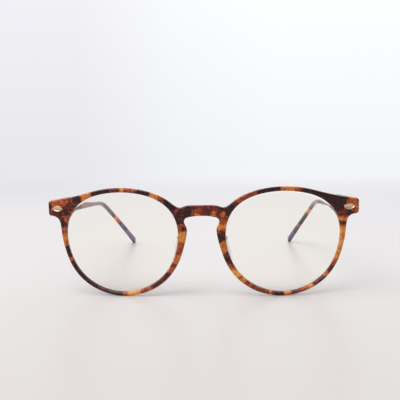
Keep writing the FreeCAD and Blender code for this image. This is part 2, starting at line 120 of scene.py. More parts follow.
def smooth_step(values, low, high):
    share = np.clip((values - low) / (high - low), 0, 1)
    return share * share * (3 - 2 * share)


def patches(at, table, edge, full_turn=None):
    """A tone that steps from patch to patch. The table has (where the patch starts, its tone)."""
    starts = np.array([start for start, _ in table], float)
    tones = np.array([tone for _, tone in table], float)
    before = np.roll(tones, 1) if full_turn else np.concatenate([tones[:1], tones[:-1]])
    knots = np.stack([starts - edge, starts + edge], axis=1).ravel()
    values = np.stack([before, tones], axis=1).ravel()
    return np.interp(at, knots, values, period=full_turn)


# ---------------------------------------------------------------- materials

def new_material(name):
    material = bpy.data.materials.new(name)
    material.use_nodes = True
    nodes = material.node_tree.nodes
    return material, nodes, material.node_tree.links, nodes["Principled BSDF"]


def add_noise(nodes, links, scale, detail=3.0, coordinates=None):
    """Noise in object space, where scale counts lumps a metre."""
    texture = nodes.new("ShaderNodeTexNoise")
    texture.inputs["Scale"].default_value = scale
    texture.inputs["Detail"].default_value = detail
    if coordinates is None:
        coordinates = nodes.new("ShaderNodeTexCoord").outputs["Object"]
    links.new(coordinates, texture.inputs["Vector"])
    return texture


def add_bump(nodes, links, shader, height, strength, distance):
    bump = nodes.new("ShaderNodeBump")
    bump.inputs["Strength"].default_value = strength
    bump.inputs["Distance"].default_value = distance
    links.new(height, bump.inputs["Height"])
    links.new(bump.outputs["Normal"], shader.inputs["Normal"])


def add_ramp(nodes, links, factor, stops):
    """A colour ramp with (place, linear colour) stops."""
    ramp = nodes.new("ShaderNodeValToRGB")
    elements = ramp.color_ramp.elements
    while len(elements) < len(stops):
        elements.new(1.0)
    for element, (place, colour) in zip(elements, stops):
        element.position = place
        element.color = (*colour, 1)
    links.new(factor, ramp.inputs["Fac"])
    return ramp


def roughness_from(nodes, links, shader, factor, low, high):
    """Roughness that wanders between two values."""
    span = nodes.new("ShaderNodeMapRange")
    span.inputs["To Min"].default_value = low
    span.inputs["To Max"].default_value = high
    links.new(factor, span.inputs["Value"])
    links.new(span.outputs["Result"], shader.inputs["Roughness"])


TORTOISE_COLOURS = (
    (0.00, (0.014, 0.002, 0.003)),
    (0.14, (0.034, 0.004, 0.004)),
    (0.34, (0.170, 0.018, 0.008)),
    (0.55, (0.430, 0.080, 0.014)),
    (0.78, (0.680, 0.220, 0.028)),
    (1.00, (0.900, 0.420, 0.080)),
)


def tortoise_acetate():
    """Polished acetate. The mesh's tone says how light each spot is, and cool how much painted mauve
    reflection of the lens coating it takes.

    Fine noise breaks the tone up.
    """
    material, nodes, links, shader = new_material("tortoise_acetate")
    tone = nodes.new("ShaderNodeAttribute")
    tone.attribute_name = "tone"
    specks = add_noise(nodes, links, 900, detail=4)
    jitter = nodes.new("ShaderNodeMapRange")
    jitter.inputs["To Min"].default_value = -0.24
    jitter.inputs["To Max"].default_value = 0.24
    links.new(specks.outputs["Fac"], jitter.inputs["Value"])
    total = nodes.new("ShaderNodeMath")
    total.operation = "ADD"
    links.new(tone.outputs["Fac"], total.inputs[0])
    links.new(jitter.outputs["Result"], total.inputs[1])
    ramp = add_ramp(nodes, links, total.outputs["Value"], TORTOISE_COLOURS)
    # Painted reflection: cool mixes in a mauve that stands in for the lens coating's reflection.
    cool = nodes.new("ShaderNodeAttribute")
    cool.attribute_name = "cool"
    blend = nodes.new("ShaderNodeMix")
    blend.data_type = "RGBA"
    colour_inputs = [socket for socket in blend.inputs if socket.type == "RGBA"]
    colour_output = [socket for socket in blend.outputs if socket.type == "RGBA"][0]
    links.new(cool.outputs["Fac"], blend.inputs[0])
    links.new(ramp.outputs["Color"], colour_inputs[0])
    # The colour of the painted mauve reflection.
    colour_inputs[1].default_value = (0.30, 0.27, 0.46, 1)
    links.new(colour_output, shader.inputs["Base Color"])
    haze = add_noise(nodes, links, 160, detail=2)
    roughness_from(nodes, links, shader, haze.outputs["Fac"], 0.12, 0.24)
    add_bump(nodes, links, shader, haze.outputs["Fac"], 0.04, 0.0002)
    shader.inputs["IOR"].default_value = 1.49
    shader.inputs["Specular IOR Level"].default_value = 0.32
    shader.inputs["Coat Weight"].default_value = 0.12
    shader.inputs["Coat Roughness"].default_value = 0.06
    return material


def lens_resin():
    """Clear coated resin with a cream tint. The edge attribute marks a painted violet reflection of
    the coating round the lens's edge.
    """
    material, nodes, links, shader = new_material("lens_resin")
    edge = nodes.new("ShaderNodeAttribute")
    edge.attribute_name = "edge"
    # Painted reflection: the violet at the edge stands in for the coating's reflection.
    ramp = add_ramp(nodes, links, edge.outputs["Fac"], (
        (0.0, (1.0, 0.985, 0.935)),
        (0.8, (0.98, 0.97, 0.94)),
        (1.0, (0.66, 0.63, 0.92)),
    ))
    links.new(ramp.outputs["Color"], shader.inputs["Base Color"])
    shader.inputs["Transmission Weight"].default_value = 1.0
    shader.inputs["Roughness"].default_value = 0.0
    # The coating takes nearly all the reflection away, which a low index does here.
    shader.inputs["IOR"].default_value = 1.2
    shader.inputs["Specular Tint"].default_value = (0.62, 0.58, 1.0, 1)
    return material


def clear_acetate():
    """The nose pads: clear, with a faint cool haze."""
    material, nodes, links, shader = new_material("clear_acetate")
    cloud = add_noise(nodes, links, 240, detail=2)
    ramp = add_ramp(nodes, links, cloud.outputs["Fac"], (
        (0.3, (0.90, 0.93, 0.97)),
        (0.7, (0.97, 0.98, 1.0)),
    ))
    links.new(ramp.outputs["Color"], shader.inputs["Base Color"])
    roughness_from(nodes, links, shader, cloud.outputs["Fac"], 0.08, 0.2)
    shader.inputs["Transmission Weight"].default_value = 1.0
    shader.inputs["IOR"].default_value = 1.33
    return material


def plated_metal(name, light, dark, roughness, grain):
    """Plated or polished metal with fine brushing and slight darkening."""
    material, nodes, links, shader = new_material(name)
    wear = add_noise(nodes, links, grain, detail=5)
    ramp = add_ramp(nodes, links, wear.outputs["Fac"], ((0.35, dark), (0.62, light)))
    links.new(ramp.outputs["Color"], shader.inputs["Base Color"])
    roughness_from(nodes, links, shader, wear.outputs["Fac"], roughness * 0.7, roughness * 1.3)
    add_bump(nodes, links, shader, wear.outputs["Fac"], 0.1, 0.00005)
    shader.inputs["Metallic"].default_value = 1.0
    return material


TORTOISE = tortoise_acetate()
LENS = lens_resin()
CLEAR = clear_acetate()
PALE_GOLD = plated_metal("pale_gold", (0.83, 0.66, 0.47), (0.66, 0.47, 0.30), 0.24, 1500)
STEEL = plated_metal("hinge_metal", (0.78, 0.76, 0.73), (0.55, 0.53, 0.50), 0.28, 2500)
CORE_STEEL = plated_metal("core_metal", (0.70, 0.70, 0.70), (0.50, 0.50, 0.50), 0.35, 2000)


# ---------------------------------------------------------------- the front's outline

WRAP_RADIUS = 320.0
FRONT_THICK = 2.3
LENS_CENTRE = (36.045, 2.505)
LENS_RADIUS = 24.41
# The lens shape is a circle with a few harmonics: (how many lobes, cosine, sine).
LENS_LOBES = (
    (2, 1.406, -0.093),
    (3, 0.0, 0.782),
    (4, -0.277, 0.0),
    (5, 0.0, 0.093),
    (6, -0.103, 0.0),
)
# Below the lens, and how much more there is of it towards the temple and the nose.
RIM_WIDTH = 1.45
RIM_MORE_AT_TEMPLE = 0.25
RIM_MORE_AT_NOSE = 1.15
TOP_EDGE = [
    (0, 18.9), (4.6, 18.9), (7.4, 18.5), (9.6, 17.85), (11.9, 18.8), (15.2, 21.3), (20.3, 23.9),
    (27.3, 25.85), (35.9, 26.6), (44.8, 25.8), (53.8, 23.5), (61.0, 21.75), (68.3, 20.4),
]
END_CORNER = [(68.3, 20.4), (69.35, 20.1), (69.8, 19.3)]
END_LOWER_CORNER = [(69.8, 14.8), (69.45, 13.85), (68.4, 13.45)]
OUTER_FLANK = [
    (68.4, 13.45), (66.8, 13.2), (65.4, 12.3), (64.5, 10.6), (64.2, 8.6), (63.75, 4.0), (62.65, -1.2),
]
NASAL_FLANK = [
    (9.1, -3.3), (7.5, 2.0), (6.6, 6.3), (6.5, 8.0), (7.1, 9.8), (7.75, 11.4), (7.25, 12.9),
    (5.5, 13.65), (2.7, 14.1), (0, 14.2),
]


def wrap_y(x, depth=0.0):
    """How far back the front's surface is at x, at a depth under its outer face."""
    return WRAP_RADIUS - np.sqrt((WRAP_RADIUS - depth) ** 2 - x * x)


def lens_radius(angle):
    """The lens shape's radius at an angle from the temple side, in radians."""
    radius = LENS_RADIUS + 0 * angle
    for lobes, cosine, sine in LENS_LOBES:
        radius = radius + cosine * np.cos(lobes * angle) + sine * np.sin(lobes * angle)
    return radius


def lens_edge(degrees, outward=0.0):
    angle = math.radians(degrees)
    radius = lens_radius(angle) + outward
    return (LENS_CENTRE[0] + radius * math.cos(angle), LENS_CENTRE[1] + radius * math.sin(angle))


def spline_through(points, step=0.35):
    """Points about a step apart along the cubic spline through an open row of points."""
    points = np.array(points, float)
    gaps = np.linalg.norm(np.diff(points, axis=0), axis=1)
    reach = np.concatenate([[0], np.cumsum(gaps)])
    system = np.eye(len(points))
    wanted = np.zeros_like(points)
    for i in range(1, len(points) - 1):
        system[i, i - 1:i + 2] = gaps[i - 1], 2 * (gaps[i - 1] + gaps[i]), gaps[i]
        slope_after = (points[i + 1] - points[i]) / gaps[i]
        wanted[i] = 6 * (slope_after - (points[i] - points[i - 1]) / gaps[i - 1])
    bend = np.linalg.solve(system, wanted)
    at = np.linspace(0, reach[-1], int(reach[-1] / step) + 2)
    i = np.clip(np.searchsorted(reach, at, side="right") - 1, 0, len(gaps) - 1)
    gap = gaps[i][:, None]
    to_next = reach[i + 1][:, None] - at[:, None]
    done = at[:, None] - reach[i][:, None]
    curve = (bend[i] * to_next ** 3 + bend[i + 1] * done ** 3) / (6 * gap)
    curve += (points[i] / gap - bend[i] * gap / 6) * to_next
    curve += (points[i + 1] / gap - bend[i + 1] * gap / 6) * done
    return curve


def both_halves(right):
    """A row of points from its left end to its right end, from its half with x from 0 up."""
    return [(-x, z) for x, z in reversed(right) if x > 0] + right


def front_outline():
    """The closed outer outline as seen from the front, as points close together."""
    rim_bottom = []
    for degrees in range(340, 195, -15):
        to_temple = max(0.0, (degrees - 270) / 70)
        to_nose = max(0.0, (270 - degrees) / 75)
        width = RIM_WIDTH + RIM_MORE_AT_TEMPLE * to_temple + RIM_MORE_AT_NOSE * to_nose
        rim_bottom.append(lens_edge(degrees, width))
    lower_half = list(reversed(OUTER_FLANK + rim_bottom + NASAL_FLANK))
    upper = spline_through(both_halves(TOP_EDGE))
    corners = np.concatenate([spline_through(END_CORNER), spline_through(END_LOWER_CORNER)])
    lower = spline_through(both_halves(lower_half))[::-1]
    return np.concatenate([upper, corners, lower, corners[::-1] * (-1, 1)])


def outline_distance(points, outline):
    """Distance from each point to a closed outline, negative inside it."""
    start = outline
    along = np.roll(outline, -1, axis=0) - start
    squared = np.maximum((along ** 2).sum(1), 1e-12)
    distance = np.empty(len(points))
    for first in range(0, len(points), 2000):
        block = points[first:first + 2000]
        offset = block[:, None, :] - start[None]
        share = np.clip((offset * along).sum(2) / squared, 0, 1)
        nearest = np.linalg.norm(offset - share[..., None] * along, axis=2).min(1)
        below = offset[..., 1] < 0
        crosses = below != (offset[..., 1] < along[:, 1])
        rise = np.where(along[:, 1] == 0, 1, along[:, 1])
        right_of = offset[..., 0] < offset[..., 1] * along[:, 0] / rise
        inside = (crosses & right_of).sum(1) % 2 == 1
        distance[first:first + 2000] = np.where(inside, -nearest, nearest)
    return distance


# ---------------------------------------------------------------- the front's solid shape

GRID_STEP = 0.3
OUTER_ROUND = 0.75
LENS_ROUND = 0.45
BLOCK_REAR = 11.95
BLOCK_FROM = (58.6, 61.4)
BLOCK_BOTTOM = (12.4, 13.5)


def rounded_common(a, b, radius):
    """The common part of two fields, with a rounded edge where they meet."""
    flat = np.minimum(np.maximum(a, b), -radius)
    return flat + np.hypot(np.maximum(a + radius, 0), np.maximum(b + radius, 0))


def front_rear(x, z):
    """How far back the front's rear face is: a curved bar with a thicker block at each end."""
    block = smooth_step(x, *BLOCK_FROM) * smooth_step(z, *BLOCK_BOTTOM)
    bar = wrap_y(x, FRONT_THICK)
    return bar + (BLOCK_REAR - bar) * block


def front_field():
    """The front as a field of distances on a grid: negative inside. Also the grid's origin."""
    half = np.arange(0, 71.0, GRID_STEP)
    y = np.arange(-1.0, 13.0, GRID_STEP)
    z = np.arange(-25.6, 28.2, GRID_STEP)
    grid_x, grid_z = np.meshgrid(half, z, indexing="ij")
    flat = np.stack([grid_x.ravel(), grid_z.ravel()], axis=1)
    outer = outline_distance(flat, front_outline()).reshape(grid_x.shape)

    from_lens_x, from_lens_z = grid_x - LENS_CENTRE[0], grid_z - LENS_CENTRE[1]
    angle = np.arctan2(from_lens_z, from_lens_x)
    opening = lens_radius(angle) - np.hypot(from_lens_x, from_lens_z)

    wide_x, wide_y = half[:, None, None], y[None, :, None]
    steepness = np.cos(np.arcsin(wide_x / WRAP_RADIUS))
    before = (wrap_y(wide_x) - wide_y) * steepness
    behind = wide_y - front_rear(grid_x, grid_z)[:, None, :]
    slab = np.maximum(before, behind)
    solid = rounded_common(slab, outer[:, None, :], OUTER_ROUND)
    solid = rounded_common(solid, opening[:, None, :], LENS_ROUND)
    whole = np.concatenate([solid[:0:-1], solid])
    return whole, np.array([-half[-1], y[0], z[0]])


def read_grid(values, at):
    """Values of a grid between its points, at places counted in grid steps."""
    low = np.clip(np.floor(at).astype(int), 0, np.array(values.shape[:3]) - 2)
    share = at - low
    total = 0
    for corner in np.ndindex(2, 2, 2):
        weight = np.prod(np.where(corner, share, 1 - share), axis=1)
        found = values[tuple((low + corner).T)]
        total = total + (found.T * weight).T
    return total


def surface_net(field):
    """The zero surface of a field: points in grid steps, and four-sided faces."""
    inside = field < 0
    count = sum(inside[tuple(slice(c, n - 1 + c) for c, n in zip(corner, field.shape))].astype(int)
                for corner in np.ndindex(2, 2, 2))
    mixed = (count > 0) & (count < 8)
    index = np.full(field.shape, -1)
    index[:-1, :-1, :-1][mixed] = np.arange(mixed.sum())
    points = np.argwhere(mixed) + 0.5
    faces = []
    for axis in range(3):
        crossing = np.argwhere(inside != np.roll(inside, -1, axis))
        across, up = np.roll(np.eye(3, dtype=int), -axis - 1, axis=0)[:2]
        shifts = (across + up, up, 0 * up, across)
        ring = np.stack([index[tuple((crossing - shift).T)] for shift in shifts], axis=1)
        leaving = inside[tuple(crossing.T)]
        faces.append(np.where(leaving[:, None], ring, ring[:, ::-1]))
    return points, np.concatenate(faces)


def settle(points, field, rounds=4):
    """Move points onto the zero surface of a field."""
    slope = np.stack(np.gradient(field), axis=-1)
    for _ in range(rounds):
        steep = read_grid(slope, points)
        height = read_grid(field, points)
        points = points - steep * (height / np.maximum((steep ** 2).sum(1), 1e-9))[:, None]
    return points


# ---------------------------------------------------------------- the tortoise pattern

# Round each rim from the temple side, over the top: (degrees where the patch starts, tone).
RIM_PATCHES = {
    RIGHT: (
        (0, 0.72), (7, 0.5), (13, 0.15), (18, 0.6), (22, 0.36), (30, 0.24), (42, 0.12), (46, 0.7),
        (59, 0.08), (79, 0.3), (90, 0.78), (94, 0.5), (107, 0.1), (122, 0.8), (131, 0.42),
        (138, 0.08), (150, 0.38), (155, 0.12), (163, 0.45), (170, 0.78), (178, 0.58), (186, 0.45),
        (194, 0.66), (202, 0.3), (206, 0.56), (214, 0.24), (237, 0.6), (243, 0.4), (250, 0.9),
        (265, 0.5), (271, 0.14), (292, 0.3), (299, 0.12), (338, 0.55), (343, 0.13), (354, 0.6),
    ),
    LEFT: (
        (0, 0.78), (6, 0.92), (11, 0.68), (14, 0.22), (18, 0.76), (22, 0.34), (27, 0.09),
        (70, 0.3), (74, 0.5), (78, 0.72), (94, 0.13), (118, 0.4), (134, 0.52), (139, 0.26),
        (143, 0.1), (156, 0.34), (159, 0.58), (162, 0.86), (166, 0.5), (170, 0.14), (178, 0.68),
        (190, 0.26), (195, 0.1), (203, 0.42), (207, 0.64), (211, 0.92), (219, 0.62), (222, 0.82),
        (227, 0.4), (231, 0.66), (234, 0.38), (254, 0.72), (258, 0.18), (270, 0.76), (278, 0.26),
        (283, 0.38), (290, 0.56), (297, 0.84), (303, 0.28), (318, 0.74), (323, 0.26), (331, 0.5),
        (338, 0.76), (352, 0.88),
    ),
}
# Along the bridge from the wearer's right to left: (x where the patch starts, tone).
BRIDGE_PATCHES = (
    (-10, 0.14), (-7.4, 0.10), (-4.6, 0.36), (0.6, 0.24), (4.6, 0.34), (6.8, 0.3), (8.6, 0.12),
)
# Spots on the bridge and the end pieces: (x, z, half width, half height, tone).
SPOTS = (
    (-2.2, 14.9, 1.6, 1.0, 0.72), (5.6, 15.3, 1.3, 1.3, 0.72), (4.6, 14.4, 0.8, 0.6, 0.6),
    (9.2, 14.6, 1.2, 1.6, 0.62), (9.4, 11.9, 1.4, 2.0, 0.5), (8.0, 9.3, 1.0, 1.3, 0.85),
    (-8.6, 12.4, 1.2, 1.6, 0.2), (-8.2, 8.4, 1.0, 0.9, 0.12), (6.9, 3.6, 1.3, 2.2, 0.13),
    (-60.2, 21.0, 2.2, 1.2, 0.42), (-64.6, 19.6, 4.6, 1.5, 0.56), (-59.6, 18.4, 1.6, 1.2, 0.26),
    (-61.3, 15.2, 1.5, 1.8, 0.09), (-65.6, 14.6, 3.6, 1.4, 0.2), (-60.4, 13.0, 1.2, 1.4, 0.42),
    (-69.4, 17.0, 0.8, 3.2, 0.2), (66.6, 18.3, 3.0, 3.2, 0.6), (68.0, 14.6, 1.3, 1.6, 0.44),
    (65.4, 14.2, 1.9, 1.4, 0.1), (-57.3, 22.9, 1.6, 0.9, 0.1),
)


def front_tone(points):
    """How light the acetate is at points of the front, by the patches' places."""
    x = points[:, 0] + 0.7 * ripple(points, 1.4, 3.0)
    z = points[:, 2] + 0.7 * ripple(points, 1.4, 9.0)
    tone = np.zeros(len(points))
    for side in (LEFT, RIGHT):
        away_x, away_z = side * x - LENS_CENTRE[0], z - LENS_CENTRE[1]
        angle = np.arctan2(away_z, away_x)
        outward = np.hypot(away_x, away_z) - lens_radius(angle)
        lean = 2.2 * outward * ripple(points, 5.0, 20.0 + side)
        rim = patches(np.degrees(angle) + lean, RIM_PATCHES[side], 0.9, full_turn=360)
        tone = np.where(side * x > 0, rim, tone)
    bridge = patches(x, BRIDGE_PATCHES, 0.25)
    on_bridge = (1 - smooth_step(np.abs(x), 8.0, 9.6)) * smooth_step(z, 11.0, 12.6)
    tone = tone + (bridge - tone) * on_bridge
    for spot_x, spot_z, wide, high, spot_tone in SPOTS:
        away = np.hypot((x - spot_x) / wide, (z - spot_z) / high)
        tone = tone + (spot_tone - tone) * (1 - smooth_step(away, 0.8, 1.12))
    return np.clip(tone + 0.20 * ripple(points, 0.9, 5.0), 0, 1)


def build_front():
    """The front as one smooth skin, with its tortoise tones."""
    field, origin = front_field()
    places, faces = surface_net(field)
    local = origin + settle(places, field) * GRID_STEP
    piece = make_piece("acetate_front", moved(local, FRONT), faces.tolist(), TORTOISE, "front")
    set_attribute(piece, "tone", front_tone(local))
    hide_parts("frame_front")
    return piece


# ---------------------------------------------------------------- the lenses

LENS_CURVE = 300.0
LENS_THICK = 1.2
LENS_SEAT = 0.4
LENS_DEPTH = 0.15
# Where the painted violet reflection of the coating starts and is full, as shares of the way out to
# the edge.
BEVEL = (0.965, 0.985)


def build_lens(side):
    """A meniscus between two spheres, edged to the lens shape plus its seat in the rim."""
    wrap = math.asin(LENS_CENTRE[0] / WRAP_RADIUS)
    centre_x = LENS_CENTRE[0] - LENS_CURVE * math.sin(wrap)
    centre_y = wrap_y(LENS_CENTRE[0]) + LENS_DEPTH + LENS_CURVE * math.cos(wrap)
    around, rings = 144, 20
    angle = np.linspace(0, 2 * math.pi, around, endpoint=False)
    rim = lens_radius(angle) + LENS_SEAT

    def surface(radius, share):
        x = LENS_CENTRE[0] + share * rim * np.cos(angle)
        z = LENS_CENTRE[1] + share * rim * np.sin(angle)
        y = centre_y - np.sqrt(radius ** 2 - (x - centre_x) ** 2 - (z - LENS_CENTRE[1]) ** 2)
        return np.stack([x, y, z], axis=1)

    shares = np.linspace(0.02, 1, rings)
    outer = [surface(LENS_CURVE, share) for share in shares]
    inner = [surface(LENS_CURVE - LENS_THICK, share) for share in shares[::-1]]
    local = np.concatenate(outer + inner)
    name = SIDE_NAMES[side]
    piece = make_piece("lens_resin_" + name, moved(local, FRONT), tube_faces(2 * rings, around),
                       LENS, "front", side)
    reach = np.concatenate([shares, shares[::-1]]).repeat(around)
    # The edge attribute carries the painted violet reflection of the coating.
    set_attribute(piece, "edge", smooth_step(reach, *BEVEL))
    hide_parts("lens_" + name)
    return piece


# ---------------------------------------------------------------- the nose pads

PAD = {"length": 12.6, "depth": 7.4, "thick": 1.8, "round": 0.85, "crown": 0.15}
PAD_PLACE = FRONT @ Matrix.Translation((10.6, 5.9, -1.6)) @ turn("Z", -28) @ turn("Y", -15)


def pad_ring(inset, across, around=64):
    """The D shape: straight towards the rim, round towards the nose's side."""
    half_long, half_deep = PAD["length"] / 2 - inset, PAD["depth"] / 2 - inset
    ring = []
    for i in range(around):
        angle = 2 * math.pi * i / around
        cosine, sine = math.cos(angle), math.sin(angle)
        squareness = 2.3 if cosine > 0 else 5.0
        y = half_deep * math.copysign(abs(cosine) ** (2 / squareness), cosine)
        z = half_long * math.copysign(abs(sine) ** (2 / 2.3), sine)
        ring.append((across, y, z))
    return ring


def build_pad(side):
    """A D-shaped pad with round edges and slightly domed faces."""
    around, steps = 64, 10
    rings = []
    for i in range(steps + 1):
        angle = math.pi * (i / steps - 0.5)
        inset = PAD["round"] * (1 - math.cos(angle))
        rings.append(pad_ring(inset, PAD["thick"] / 2 * math.sin(angle), around))
    for share in (0.6, 0.25):
        dome = PAD["crown"] * (1 - share)
        for ring_side in (-1, 1):
            flat = pad_ring(PAD["round"], ring_side * PAD["thick"] / 2, around)
            ring = [(x + ring_side * dome, share * y, share * z) for x, y, z in flat]
            rings.insert(0 if ring_side < 0 else len(rings), ring)
    local = np.array(rings).reshape(-1, 3)
    faces = [face[::-1] for face in tube_faces(len(rings), around)]
    name = SIDE_NAMES[side]
    piece = make_piece("clear_pad_" + name, moved(local, PAD_PLACE), faces, CLEAR, "front",
                       side)
    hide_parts("nose_pad_" + name)
    return piece


# ---------------------------------------------------------------- the shields

SHIELD_X, SHIELD_Z = 65.14, 17.0
SHIELD_LENGTH, SHIELD_HEIGHT = 5.3, 2.6
# From the rim outside to the middle of the dish: (share of the outline, height).
SHIELD_PROFILE = (
    (1.0, -0.3), (1.0, 0.40), (0.985, 0.50), (0.95, 0.57), (0.90, 0.60), (0.84, 0.58),
    (0.78, 0.50), (0.72, 0.38), (0.66, 0.31), (0.55, 0.28), (0.3, 0.26), (0.05, 0.25),
)


def build_shield(side):
    """A pointed oval badge with a raised rim round a dished face."""
    tip, top = SHIELD_LENGTH / 2, SHIELD_HEIGHT / 2
    radius = (tip ** 2 + top ** 2) / (2 * top)
    around = 96
    ring = []
    for i in range(around):
        share = 4 * i / around
        x = tip * (1 - share) if share <= 2 else tip * (share - 3)
        z = math.sqrt(radius ** 2 - x * x) - (radius - top)
        ring.append((x, z if share <= 2 else -z))
    ring = np.array(ring)
    rings = []
    for share, height in SHIELD_PROFILE:
        inset = 1 - share
        shrunk = ring * (1 - inset * SHIELD_HEIGHT / SHIELD_LENGTH * 1.25, share)
        rings.append(np.stack([shrunk[:, 0], np.full(around, -height), shrunk[:, 1]], axis=1))
    local = np.concatenate(rings)
    turned = math.degrees(math.asin(SHIELD_X / WRAP_RADIUS))
    place = FRONT @ Matrix.Translation((SHIELD_X, wrap_y(SHIELD_X), SHIELD_Z)) @ turn("Z", turned)
    name = SIDE_NAMES[side]
    faces = tube_faces(len(rings), around)
    piece = make_piece("gold_shield_" + name, moved(local, place), faces, PALE_GOLD, "front",
                       side)
    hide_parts("shield_" + name)
    return piece


# ---------------------------------------------------------------- the temples

TEMPLE_X = 3.0
TEMPLE_STRAIGHT = 68.4
BEND_RADIUS, BEND_ANGLE = 54.0, math.radians(16)
TIP_RADIUS, TIP_ANGLE = 171.0, math.radians(19.355)
CURL_START, CURL_RADIUS = 91.0, 175.0
TEMPLE_LENGTH = TEMPLE_STRAIGHT + BEND_RADIUS * BEND_ANGLE + TIP_RADIUS * TIP_ANGLE
TEMPLE_START = 12.15
TEMPLE_AHEAD = 4.0
ROOT_HALF_THICK, TIP_HALF_THICK = 1.6, 1.05
END_LEAN = 1.1
END_CUT = 0.45
TEMPLE_CORNER = 0.8
HALF_HEIGHTS = (
    (-5, 2.9), (0, 2.85), (20, 2.3), (60, 1.1), (90, 1.22), (115, 1.25), (141, 1.6),
)
# The hinge leaf stands this much proud of the acetate, as far as this from the hinge.
LEAF_PROUD = 0.05
LEAF_LENGTH = 8.1
START_ROUND, TIP_ROUND = 0.35, 0.45
RINGS_ALONG = 230

# From the hinge to the tip: (distance where the patch starts, tone).
TEMPLE_PATCHES = {
    RIGHT: (
        (-6, 0.5), (4, 0.16), (11, 0.62), (17, 0.3), (24, 0.1), (33, 0.7), (38, 0.5), (66, 0.3),
        (74, 0.16), (98, 0.3), (102, 0.86), (108, 0.6), (114, 0.12), (126, 0.6), (131, 0.2),
    ),
    LEFT: (
        (-6, 0.56), (2, 0.1), (9, 0.3), (15, 0.72), (20, 0.2), (31, 0.5), (36, 0.12), (44, 0.64),
        (49, 0.3), (58, 0.1), (66, 0.5), (78, 0.36), (86, 0.2), (90, 0.76), (99, 0.34),
        (104, 0.1), (118, 0.42), (124, 0.1), (133, 0.16),
    ),
}
# The same for how much painted mauve reflection of the lens coating the acetate takes.
TEMPLE_PAINTED_REFLECTION = {
    RIGHT: ((-6, 0.0), (40, 0.5), (72, 0.2), (98, 0.0), (115, 0.35), (131, 0.7)),
    LEFT: ((-6, 0.0), (64, 0.35), (86, 0.0), (118, 0.2), (130, 0.4)),
}


def temple_line(distance):
    """The side view's middle line: y, z and the angle below the straight run."""
    angle = np.clip((distance - TEMPLE_STRAIGHT) / BEND_RADIUS, 0, BEND_ANGLE)
    rest = np.maximum(distance - TEMPLE_STRAIGHT - BEND_RADIUS * BEND_ANGLE, 0)
    further = angle + rest / TIP_RADIUS
    y = np.minimum(distance, TEMPLE_STRAIGHT) + BEND_RADIUS * np.sin(angle)
    y = y + TIP_RADIUS * (np.sin(further) - np.sin(angle))
    z = BEND_RADIUS * (np.cos(angle) - 1) - TIP_RADIUS * (np.cos(angle) - np.cos(further))
    return y, z, further


def temple_points(distance, across, up):
    """Points of a temple from the distance along it, and how far across and up from its line."""
    y, z, angle = temple_line(distance)
    y = y + up * np.sin(angle)
    z = z + up * np.cos(angle)
    curled = np.maximum(y - CURL_START, 0)
    x = TEMPLE_X - CURL_RADIUS + np.sqrt((CURL_RADIUS + across) ** 2 - curled ** 2)
    return np.stack([x, y, z], axis=1)


def half_thick(distance):
    """Half the temple's thickness, which tapers from the hinge to the start of the curl."""
    share = np.clip((distance + TEMPLE_AHEAD) / (CURL_START + TEMPLE_AHEAD), 0, 1)
    return ROOT_HALF_THICK + (TIP_HALF_THICK - ROOT_HALF_THICK) * share


def rounded_section(wide, high, corner, per_corner=7):
    """A rounded rectangle, as points (across, up) with half sizes wide and high."""
    ring = []
    for quarter, (x_side, z_side) in enumerate(((1, 1), (-1, 1), (-1, -1), (1, -1))):
        for i in range(per_corner):
            angle = math.pi / 2 * (quarter + i / (per_corner - 1))
            ring.append((x_side * (wide - corner) + corner * math.cos(angle),
                         z_side * (high - corner) + corner * math.sin(angle)))
        last = ring[-1]
        next_x, next_z = ((-1, 1), (-1, -1), (1, -1), (1, 1))[quarter]
        turned = math.pi / 2 * (quarter + 1)
        target = (next_x * (wide - corner) + corner * math.cos(turned),
                  next_z * (high - corner) + corner * math.sin(turned))
        for share in (0.2, 0.4, 0.6, 0.8):
            ring.append((last[0] + share * (target[0] - last[0]),
                         last[1] + share * (target[1] - last[1])))
    return np.array(ring)


def start_distance(across, up):
    """Where a line along the temple meets the plane behind the end piece."""
    to_front = np.array(FRONT.inverted() @ TEMPLE)
    x = TEMPLE_X + across
    behind_hinge = to_front[1, 0] * x + to_front[1, 2] * up + to_front[1, 3]
    return (TEMPLE_START - behind_hinge) / to_front[1, 1]


